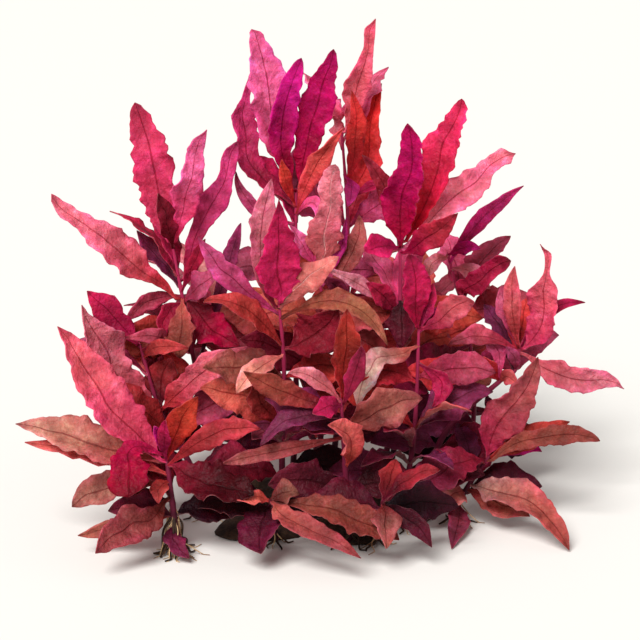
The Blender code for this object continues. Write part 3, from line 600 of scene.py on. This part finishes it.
# Older tissue turns brownish in patches 26 mm across
blotch = add(tree, "TexNoise", Vector=spot, Scale=38, Detail=5, Roughness=0.7).outputs["Fac"]
blotch = add(tree, "MapRange", Value=blotch, From_Min=0.48, From_Max=0.70, To_Max=0.75).outputs["Result"]
blotch = add(tree, "Math", {"operation": "MULTIPLY"}, in0=blotch, in1=age).outputs[0]
aged = add(
    tree, "Mix", {"data_type": "RGBA", "blend_type": "MULTIPLY"}, in0=blotch, in6=blade_colour,
    in7=paint("#c88468"),
).outputs[2]
# A painted sheen makes the margin a little pinker and brighter than the middle
edge = add(tree, "MapRange", Value=away, From_Min=0.35, From_Max=1.0, To_Max=0.40).outputs["Result"]
rosy = add(
    tree, "Mix", {"data_type": "RGBA", "blend_type": "DODGE"}, in0=edge, in6=aged, in7=paint("#b468c4")
).outputs[2]
# A painted sheen brightens the blade in rosy patches 16 mm across, and the very tip is darker
painted_sheen = add(tree, "TexNoise", Vector=spot, Scale=62, Detail=4, Roughness=0.65, Distortion=0.6).outputs["Fac"]
painted_sheen = add(tree, "MapRange", Value=painted_sheen, From_Min=0.48, From_Max=0.66, To_Max=0.60).outputs["Result"]
rosy = add(
    tree, "Mix", {"data_type": "RGBA", "blend_type": "DODGE"}, in0=painted_sheen, in6=rosy, in7=paint("#b468c4")
).outputs[2]
end = add(tree, "MapRange", Value=along, From_Min=0.90, From_Max=0.99, To_Max=0.6).outputs["Result"]
edged = add(
    tree, "Mix", {"data_type": "RGBA", "blend_type": "MULTIPLY"}, in0=end, in6=rosy, in7=paint("#8c4a5c")
).outputs[2]
# The upper side has the veins darker than the blade; the underside is paler all over, with pale veins
dark_vein = add(
    tree, "Mix", {"data_type": "RGBA", "blend_type": "MULTIPLY"}, in0=veins, in6=edged, in7=paint("#d2a8b0")
).outputs[2]
pale = add(
    tree, "Mix", {"data_type": "RGBA", "blend_type": "MIX"}, in0=0.25, in6=edged, in7=paint("#d88a8c")
).outputs[2]
raised = add(tree, "Math", {"operation": "MULTIPLY"}, in0=veins, in1=0.28).outputs[0]
pale_vein = add(
    tree, "Mix", {"data_type": "RGBA", "blend_type": "MIX"}, in0=raised, in6=pale, in7=paint("#eec0bc")
).outputs[2]
skin = add(tree, "Mix", {"data_type": "RGBA"}, in0=under, in6=dark_vein, in7=pale_vein).outputs[2]
# The blade is darker and lighter at three sizes at once: patches, mottling and grain. This is partly random
# tone and partly painted shade and light of the crumples, which the mottling also raises in the relief
shades = []
for pattern, darkest, lightest in ((soft, 0.68, 1.18), (mottle, 0.72, 1.26), (fine, 0.93, 1.07)):
    shade = add(tree, "MapRange", Value=pattern, From_Min=0.3, From_Max=0.7, To_Min=darkest, To_Max=lightest)
    shades.append(shade.outputs["Result"])
patchy = add(tree, "Math", {"operation": "MULTIPLY"}, in0=shades[0], in1=shades[1]).outputs[0]
value = add(tree, "Math", {"operation": "MULTIPLY"}, in0=shades[2], in1=patchy).outputs[0]
# Painted highlights: pale glints lie on the blade in crumpled patches 7 mm across
painted_glint = add(tree, "TexNoise", Vector=spot, Scale=150, Detail=5, Roughness=0.74, Distortion=0.4)
painted_glint = add(
    tree, "MapRange", Value=painted_glint.outputs["Fac"], From_Min=0.47, From_Max=0.68, To_Max=0.8
).outputs["Result"]
skin = add(
    tree, "Mix", {"data_type": "RGBA", "blend_type": "DODGE"}, in0=painted_glint, in6=skin, in7=paint("#8ccac4")
).outputs[2]
skin = add(tree, "HueSaturation", Value=value, Color=skin).outputs["Color"]
tree.links.new(skin, shader.inputs["Base Color"])
# The veins are sunk in a crumpled, grained skin, and the gloss changes from patch to patch
relief = add(tree, "Math", {"operation": "MULTIPLY_ADD"}, in0=veins, in1=-0.7, in2=fine).outputs[0]
relief = add(tree, "Math", {"operation": "MULTIPLY_ADD"}, in0=mottle, in1=2.2, in2=relief).outputs[0]
bump = add(tree, "Bump", Height=relief, Strength=0.7, Distance=0.0009)
tree.links.new(bump.outputs["Normal"], shader.inputs["Normal"])
gloss = add(tree, "MapRange", Value=soft, From_Min=0.3, From_Max=0.7, To_Min=0.40, To_Max=0.55)
tree.links.new(gloss.outputs["Result"], shader.inputs["Roughness"])
shader.inputs["Specular IOR Level"].default_value = 0.09
shader.inputs["Subsurface Weight"].default_value = 0.25
shader.inputs["Subsurface Radius"].default_value = (0.0020, 0.0003, 0.0004)
shader.inputs["Subsurface Scale"].default_value = 1.0

# The reds that the eye tells apart on this plant, from its palest young tissue to its darkest old one; the
# darkest reds, on leaves low in the clump, are partly painted shade
REDS = {
    "cream": "#ffc4b4", "shell": "#fc70a0", "blush": "#f07888", "dusty_pink": "#d47480",
    "coral_rose": "#e06470", "flame_red": "#d84448", "vermilion": "#c83c38", "cerise": "#d43c5c",
    "rose_red": "#c84460", "mallow": "#c44470", "old_rose": "#c05860", "purple_red": "#c01c74",
    "magenta_red": "#b01054", "ruby": "#b82850", "cherry": "#c02030", "claret": "#980a30",
    "brick_red": "#b44044", "terracotta": "#b05850", "garnet": "#982840", "clay": "#c08070",
    "stone_pink": "#a07068", "sienna": "#9c5050", "umber": "#884840", "oxblood": "#74202c",
    "mulberry": "#803048", "mahogany": "#5c2420", "near_black": "#3c0a10",
}
# The reds of the foot and the tip of each large leaf, how blunt its tip is (less is rounder), and how far
# its left and right margins are seen from its middle line at the marks; without them the outline is usual
LARGE_LEAVES = {
    "upper_left_leaf_1": (
        "rose_red", "rose_red", 0.55, (4.8, 7.4, 8.3, 8.4, 6.5, 4.5), (5, 8, 9.5, 10.8, 10, 6.2),
    ),
    "upper_left_leaf_2": ("cerise", "shell", 1.1, (3, 5, 8.5, 6.7, 6.5, 6.2), (2, 4.5, 6.2, 5.2, 2.3, 1)),
    "upper_left_leaf_3": ("brick_red", "blush", 0.5, (1, 5, 9, 8.5, 5.7, 6), (3.5, 3.8, 8, 7.3, 3, 0.8)),
    "upper_left_leaf_4": (
        "garnet", "mallow", 0.7, (2.5, 4.5, 4.5, 6, 1.5, 4.2), (3, 3.2, 4.5, 8.8, 6.5, 3.8),
    ),
    "upper_left_leaf_5": ("terracotta", "umber", 0.8, (1.8, 3.2, 5.2, 5.2, 5, 3.5), (3.3, 5, 7, 8, 8, 5)),
    "upper_left_leaf_6": ("oxblood", "claret", 0.8, (4, 6.5, 8, 7.5, 6, 3), (2.5, 5, 8, 9, 6, 3)),
    "top_centre_leaf_1": ("garnet", "shell", 0.35, (3, 6, 6.5, 6, 4, 2.2), (4, 7, 10, 12.3, 10.5, 6.2)),
    "top_centre_leaf_2": ("claret", "purple_red", 0.55, (3, 6.5, 7.7, 6.2, 4, 2.6), (3, 4, 7, 7, 6.2, 4.3)),
    "top_centre_leaf_3": ("claret", "magenta_red", 0.5, (4, 7, 8.5, 9.2, 7, 2.5), (2, 5, 6, 8.5, 6, 4)),
    "top_centre_leaf_4": ("garnet", "mallow", 0.7, (6.5, 9.3, 4, 3.5, -1.7, -1.5), (2, 3, 8, 9, 6.2, 5)),
    "tall_back_leaf_1": (
        "coral_rose", "coral_rose", 0.9, (2, 4.8, 6.3, 4.2, 1.8, 3.8), (2, 5, 7, 5.7, 3.4, 1.6),
    ),
    "tall_back_leaf_2": ("flame_red", "vermilion", 1, (4, 6, 7, 7, 6.2, 3.8), (3, 8, 6, 2.3, 1.2, 0.5)),
    "right_centre_leaf_1": (
        "claret", "magenta_red", 0.7, (5, 8.5, 8.5, 3, 1.8, 2.3), (5, 8, 10, 10.5, 9.6, 7),
    ),
    "right_centre_leaf_2": (
        "cherry", "cerise", 0.55, (3, 6, 9.5, 11.5, 6.8, 3.4), (4, 6, 6.8, 4.7, 4, 3.6),
    ),
    "right_centre_leaf_3": ("blush", "blush", 1.1, (2, 6, 9, 6.5, 5.8, 5.8), (2, 4, 7.3, 7.5, 2.2, 2.8)),
    "right_centre_leaf_4": ("claret", "brick_red", 0.9),
    "right_front_leaf_1": ("claret", "ruby", 0.7, (3, 5, 5, 4.5, 3.5, 2.3), (3, 5.5, 7.5, 8, 6.5, 4)),
    "right_front_leaf_2": ("garnet", "old_rose", 0.7, (3, 4.5, 8, 9, 9, 6), (2, 3.5, 4, 3, 3, 1.5)),
    "right_front_leaf_3": ("terracotta", "cream", 0.8, (4.5, 4, 2, 3, 2, 1.5), (2, 5, 9.5, 8, 7, 3.5)),
    "right_back_leaf_1": ("cerise", "garnet", 0.5, (2, 4, 4, 3.5, 5, 5.5), (3, 6, 8, 8, 5.5, 4)),
    "right_back_leaf_2": ("oxblood", "garnet", 0.8),
    "far_right_leaf_1": (
        "rose_red", "coral_rose", 1.2, (4, 6, 8, 9, 1.8, -0.5), (5.6, 7.8, 7, 5.5, 1.5, 3.8),
    ),
    "far_right_leaf_2": (
        "old_rose", "dusty_pink", 1.2, (1, 3.8, 3.8, 5.8, 6.5, 4), (5, 9, 8.5, 7, 2.7, -0.3),
    ),
    "centre_leaf_1": ("ruby", "ruby", 1.2, (6.8, 10, 9.3, 6.8, 4.6, 1.5), (8.5, 9, 9, 8, 4.7, 2.3)),
    "centre_leaf_2": ("oxblood", "dusty_pink", 0.8, (2, 2.5, 2.5, 3, 4, 2), (3, 5, 6, 7, 7.5, 4.3)),
    "centre_leaf_3": ("oxblood", "oxblood", 0.8),
    "middle_leaf_1": ("brick_red", "blush", 0.5, (4, 7.5, 5.2, 3, 5, 4), (9, 9.5, 9, 8, 6.5, 4)),
    "centre_front_leaf_1": ("oxblood", "umber", 0.8),
    "left_middle_leaf_1": ("old_rose", "dusty_pink", 0.9, (4, 8, 9, 9, 7, 2.7), (4, 6, 6, 11.5, 7.8, 1.8)),
    "left_middle_leaf_2": ("brick_red", "blush", 0.9, (5.5, 7, 7.5, 8.3, 7, 3), (4.5, 5.5, 4.5, 5, 5, 2.5)),
    "lower_left_leaf_1": (
        "rose_red", "coral_rose", 0.9, (4, 8, 10.3, 8.7, 5.8, 2), (6, 9, 8.5, 10.5, 8, 5.2),
    ),
    "lower_left_leaf_2": (
        "terracotta", "clay", 1.1, (4, 10, 11, 9.5, 5.5, 2.5), (3, 6, 7.5, 8.5, 5.3, 3.2),
    ),
    "lower_left_leaf_3": ("ruby", "claret", 0.4, (2, 3, 5, 6, 10, 10), (2, 3, 5, 5.5, 6.5, 8.5)),
    "lower_left_leaf_4": ("mahogany", "sienna", 0.9, (6, 10, 9, 7.5, 5, 3), (1, 2.5, 8.5, 7, 7, 4)),
    "lower_left_leaf_5": ("oxblood", "near_black", 0.6, (2, 3, 5, 6, 6, 5), (4, 9, 12, 13, 11, 6)),
    "lower_centre_leaf_1": ("terracotta", "sienna", 0.9, (1, 1.5, 2, 3, 3.5, 2), (5, 7, 7, 6, 4, 2)),
    "lower_centre_leaf_2": ("umber", "umber", 0.8, (2, 5, 6, 5, 5, 3), (2, 5, 6, 8, 7, 3)),
    "lower_right_leaf_1": ("garnet", "sienna", 0.9, (7, 10.5, 11, 7.3, 3.5, 2), (4, 6, 8.5, 8.8, 7.3, 4.4)),
    "lower_right_leaf_2": ("umber", "umber", 0.6, (3, 5, 4, 5, 5, 3), (1, 3, 4, 5, 4, 2)),
    "lower_right_leaf_3": ("stone_pink", "terracotta", 0.9, (3, 4, 6, 6, 5, 3.5), (7, 10, 9, 6, 5, 3)),
    "lower_right_leaf_4": ("garnet", "mulberry", 0.8),
}
slots = {row["node"]: row["material_slot"] for row in frame["record"]["subparts"]}
for node, (foot, tip, bluntness, *seen_halves) in LARGE_LEAVES.items():
    blade = blades_of(node)[0]
    shoot = node.split("_leaf_")[0]
    title = node.replace("_leaf_", "_blade_")
    thing = leaf(
        title, blade, stem_lines[shoot], LEAF_ROWS, LEAF_COLUMNS, REDS[foot], REDS[tip], seen_halves,
        bluntness,
    )
    settle(thing, leaf_skin, slots[node], node)

# Small leaves: the same leaves, younger or starved of light, several pairs to a stem. Low down they are
# painted maroon to nearly black as shade of the crowded interior; near the tips they are pink, coral or
# crimson.

LONG_SMALL_LEAF = 22
LONG_ROWS = 22
SHORT_ROWS = 14
SMALL_COLUMNS = 6
TIP_REACH = 1.5

# The colours of a small leaf's foot and tip, by tone. The darker foot is partly painted shade, and the
# maroon and black_red tones stand for painted shade low in the clump
TONES = {
    "fuchsia": ("#b42460", "#c83c7c"),
    "magenta": ("#9c1044", "#c42474"),
    "crimson": ("#8c1c38", "#b82c4c"),
    "pink": ("#cc4664", "#ec6c88"),
    "flame": ("#cc4048", "#f8605c"),
    "scarlet": ("#b03038", "#d04844"),
    "coral": ("#a84440", "#d86860"),
    "salmon": ("#bc6060", "#ec948e"),
    "rose": ("#943648", "#b05064"),
    "brick": ("#8a2e2c", "#ac4842"),
    "bronze": ("#743430", "#a46054"),
    "ember": ("#881c20", "#a03832"),
    "plum": ("#54202e", "#7c3a4e"),
    "wine": ("#6a1422", "#8c2c3c"),
    "rust": ("#54141c", "#8c3434"),
    "maroon": ("#3c121c", "#5a1e2c"),
    "black_red": ("#180a10", "#30101a"),
}
# The small leaves that the front shows best, by where the tip is seen (right, up)
SHOWN_TIPS = {
    "upper_left": (
        ((-82, 156), "wine"), ((-92, 136), "plum"), ((-57.5, 133), "crimson"), ((-51, 115), "rose"),
        ((-98, 91), "rose"), ((-78, 83), "crimson"), ((-40, 141), "plum"),
    ),
    "top_centre": (
        ((12, 188), "flame"), ((-42, 167), "rose"), ((-1, 139), "pink"), ((-19, 172), "scarlet"),
    ),
    "tall_back": (
        ((16.5, 207), "scarlet"), ((14, 148), "fuchsia"), ((38.5, 157), "crimson"),
    ),
    "right_centre": (
        ((21, 175), "wine"), ((21.5, 126), "crimson"), ((23.5, 111), "crimson"), ((40, 78), "maroon"),
        ((3, 118), "salmon"),
    ),
    "right_back": (
        ((101.5, 160), "fuchsia"), ((80.5, 128), "magenta"), ((53, 112), "salmon"), ((85, 108), "salmon"),
        ((29, 51), "maroon"), ((58, 56), "crimson"),
    ),
    "right_front": (
        ((56.5, 111), "crimson"), ((73, 95), "magenta"), ((56, 49), "crimson"),
    ),
    "far_right": (
        ((97.5, 119), "coral"), ((91, 110), "rose"), ((133, 102), "crimson"), ((93, 79), "rose"),
        ((64, 80), "rose"), ((78, 84), "pink"), ((82, 75), "scarlet"), ((99, 60), "coral"),
        ((91, 44), "maroon"),
    ),
    "middle": (
        ((-14, 140), "pink"), ((19.5, 145), "bronze"), ((13, 144), "fuchsia"), ((1, 113), "maroon"),
    ),
    "centre": (
        ((10, 124), "coral"), ((34, 80), "bronze"), ((-60, 134), "rose"), ((-58, 103), "brick"),
        ((-42, 56), "salmon"), ((-32, 65), "brick"),
    ),
    "centre_front": (
        ((13.5, 98), "ember"), ((21, 80), "wine"), ((-16, 66), "salmon"), ((-4, 45), "crimson"),
        ((4, 40), "coral"), ((-49, 21), "bronze"), ((-29, 29), "plum"),
    ),
    "left_middle": (
        ((-116.5, 107), "crimson"), ((-99, 83), "rose"), ((-66, 78), "brick"), ((-74, 74), "rust"),
        ((-104, 50), "maroon"),
    ),
    "lower_left": (
        ((-61, 54), "ember"), ((-30, 38), "brick"), ((-66, 52), "crimson"), ((-84, 40), "magenta"),
        ((-76, 43), "crimson"), ((-147, 30), "coral"), ((-124, -1), "bronze"), ((-101, 8), "maroon"),
        ((-121, -15), "bronze"), ((-65, -27), "plum"), ((-81, 1), "coral"),
    ),
    "lower_centre": (
        ((-41, 1), "coral"), ((-10, 6), "bronze"), ((-29, -25), "maroon"),
    ),
    "front_right": (
        ((32.5, -22), "bronze"), ((38, 23), "rust"), ((60, 18), "rust"), ((56, -21), "maroon"),
    ),
    "lower_right": (
        ((125, 42), "brick"), ((111, 27), "magenta"), ((105, -5), "bronze"), ((54, -5), "salmon"),
        ((66, -21), "rose"),
    ),
}
# How the other leaves look from the front, area by area: its middle (right, up), its reach, and the tones
# that the leaves there take in turn
AREAS = (
    ((-95, 150), 16, ("crimson",)), ((-78, 126), 14, ("pink", "salmon")),
    ((-105, 82), 16, ("coral", "brick")), ((-45, 105), 16, ("coral", "rose")),
    ((-35, 175), 22, ("crimson", "pink")), ((10, 215), 30, ("pink",)), ((45, 165), 26, ("pink",)),
    ((45, 128), 22, ("pink", "coral")), ((18, 122), 14, ("pink", "coral")),
    ((-2, 90), 12, ("coral", "salmon")), ((-20, 80), 10, ("rose",)),
    ((-58, 63), 8, ("coral", "bronze")), ((15, 62), 14, ("ember", "scarlet", "coral")),
    ((43, 77), 10, ("scarlet", "wine")), ((100, 100), 8, ("scarlet", "rose")),
    ((117, 90), 10, ("coral", "rose")), ((84, 92), 9, ("plum", "brick")),
    ((88, 62), 8, ("plum", "rose")), ((-35, 45), 14, ("plum", "rose")),
    ((-120, 70), 16, ("rose", "coral")),
)
# The tones that leaves anywhere else take in turn, up to each height above the ground: darker the lower, as
# painted shade of the crowded interior
SHADED = (
    (28, ("black_red", "maroon")), (62, ("maroon", "plum", "wine")),
    (125, ("brick", "rust", "rose", "bronze", "wine")), (1000, ("crimson", "rose", "magenta")),
)


def look(place):
    """Where a place appears from the front, as (right, up)."""
    away = place - VIEW_POINT
    share = VIEW_FAR / away.dot(VIEW_ALONG)
    return away.x * share, away.dot(VIEW_UPWARD) * share + VIEW_UP


def tone_of(shoot, blade):
    """The tone of a small leaf: by its tip, by where it is seen, or by its height."""
    place = look(blade.tip)
    for tip, tone in SHOWN_TIPS.get(shoot, ()):
        if math.dist(tip, place) < TIP_REACH:
            return tone
    tones = next(
        (tones for middle, reach, tones in AREAS if math.dist(middle, place) < reach),
        next(tones for height, tones in SHADED if blade.tip.z < height),
    )
    return tones[round(blade.tip.x + blade.tip.z) % len(tones)]


for shoot in SHOOTS:
    made = []
    for index, blade in enumerate(blades_of(f"{shoot}_shoot")):
        foot, tip = TONES[tone_of(shoot, blade)]
        rows = LONG_ROWS if blade.length > LONG_SMALL_LEAF else SHORT_ROWS
        made.append(leaf(f"{shoot}_{index}", blade, stem_lines[shoot], rows, SMALL_COLUMNS, foot, tip))
    pick(*made[1:], made[0])
    bpy.ops.object.join()
    group = made[0]
    group.name = group.data.name = f"{shoot}_small_leaves"
    settle(group, leaf_skin, "leaf_rust", f"{shoot}_shoot")

# Roots: the lowest stem joints send them down to the ground, where they spread and grip. The old ones are
# brown-black and as thick as string; the new ones are tan threads that hang freely at first.

ROOT_STEPS = 5
ROOT_SIDES = 6
ROOT_TAPER = 0.55
ROOT_TURN = 0.3
ROOT_REACH = (0.4, 1.0)
ROOT_BEND = 2
KNEE_HEIGHT = (0.45, 0.8)
TOE_LENGTH = 0.35

# A new root's skin is matt and pale, stained brown in patches 6 mm long
root_skin, tree, shader = new_finish("pale root skin")
places = add(tree, "TexCoord").outputs["Object"]
stain = add(tree, "TexNoise", Vector=places, Scale=160, Detail=2).outputs["Fac"]
ramp = add(tree, "ValToRGB", Fac=stain)
ramp.color_ramp.elements[0].position = 0.40
ramp.color_ramp.elements[0].color = paint("#8a6444")
ramp.color_ramp.elements[1].position = 0.62
ramp.color_ramp.elements[1].color = paint("#dcb888")
tree.links.new(ramp.outputs["Color"], shader.inputs["Base Color"])
shader.inputs["Roughness"].default_value = 0.6

# Each piece's finish and its roots' radius, then the stems, how high the roots leave them, their spread and
# their number
ROOTS = {
    "old_roots": (root_bark, 0.7, (
        ("lower_left", 18, 7, 8), ("lower_left", 9, 10, 7), ("left_middle", 10, 13, 5),
        ("lower_centre", 6, 12, 6), ("front_right", 6, 10, 6), ("lower_right", 6, 8, 5),
        ("centre_front", 8, 10, 6), ("right_front", 8, 10, 5),
    )),
    "new_roots": (root_skin, 0.34, (
        ("lower_left", 24, 6, 8), ("lower_left", 16, 9, 10), ("lower_left", 7, 12, 8),
        ("left_middle", 9, 10, 5), ("lower_right", 11, 10, 6), ("lower_centre", 7, 9, 4),
        ("front_right", 8, 9, 4), ("right_front", 8, 9, 4),
    )),
}
for name, (finish, thick, tufts) in ROOTS.items():
    seed = random.Random(name)
    threads = []
    for shoot, height, spread, count in tufts:
        top = min(stem_lines[shoot], key=lambda place: abs(place.z - height))
        for index in range(count):
            way = math.tau * (index + seed.uniform(-ROOT_TURN, ROOT_TURN)) / count
            out = Vector((math.cos(way), math.sin(way), 0)) * spread * seed.uniform(*ROOT_REACH)
            bend = Vector((seed.uniform(-ROOT_BEND, ROOT_BEND), seed.uniform(-ROOT_BEND, ROOT_BEND), 0))
            knee = top + out * 0.5 + bend
            knee.z = top.z * seed.uniform(*KNEE_HEIGHT)
            toe = Vector((top.x, top.y, thick)) + out - bend * 0.6
            line = smooth_line([top, knee, toe, toe + out * TOE_LENGTH + bend], ROOT_STEPS)
            for place in line:
                place.z = max(place.z, thick)
            radii = [thick * (1 - ROOT_TAPER * step / len(line)) for step in range(len(line))]
            threads.append(tube(f"root_{len(threads)}", line, radii, ROOT_SIDES))
    pick(*threads[1:], threads[0])
    bpy.ops.object.join()
    threads[0].name = threads[0].data.name = name
    settle(threads[0], finish, "root", "root_crown")

# Floor, light and camera: a pale matt board that reaches the horizon, a white room, one broad lamp up on the
# left in front, and a camera that sees the front as the stems' places assume.

FLOOR_SIZE = 400
ROOM_STRENGTH = 0.34
LAMP_STRENGTH = 3.7
LAMP_WIDTH = 30
LAMP_TILT = 38
LAMP_TURN = -22
SENSOR = 36
PICTURE = 640
PIXELS_PER_MM = 2

bpy.ops.mesh.primitive_plane_add(size=FLOOR_SIZE)
floor = bpy.context.object
floor.name = "floor"
pale_board, tree, shader = new_finish("pale matt board")
shader.inputs["Base Color"].default_value = paint("#f2efe9")
shader.inputs["Roughness"].default_value = 0.9
floor.data.materials.append(pale_board)

world = bpy.data.worlds.new("soft white room")
bpy.context.scene.world = world
world.use_nodes = True
world.node_tree.nodes["Background"].inputs["Color"].default_value = (1, 1, 1, 1)
world.node_tree.nodes["Background"].inputs["Strength"].default_value = ROOM_STRENGTH

sun = bpy.data.lights.new("soft overhead light", "SUN")
sun.energy = LAMP_STRENGTH
sun.angle = math.radians(LAMP_WIDTH)
lamp = bpy.data.objects.new("soft overhead light", sun)
bpy.context.scene.collection.objects.link(lamp)
lamp.rotation_euler = (math.radians(LAMP_TILT), math.radians(LAMP_TURN), 0)

camera = bpy.data.cameras.new("camera")
camera.sensor_width = SENSOR
camera.lens = SENSOR * PIXELS_PER_MM * VIEW_FAR / PICTURE
camera.clip_start = 0.01
camera.clip_end = FLOOR_SIZE * 1.25
eye = bpy.data.objects.new("camera", camera)
bpy.context.scene.collection.objects.link(eye)
eye.matrix_world = Matrix((
    (1, VIEW_UPWARD.x, -VIEW_ALONG.x, VIEW_POINT.x * MM),
    (0, VIEW_UPWARD.y, -VIEW_ALONG.y, VIEW_POINT.y * MM),
    (0, VIEW_UPWARD.z, -VIEW_ALONG.z, VIEW_POINT.z * MM),
    (0, 0, 0, 1),
))
bpy.context.scene.camera = eye
bpy.context.scene.view_settings.view_transform = "Standard"
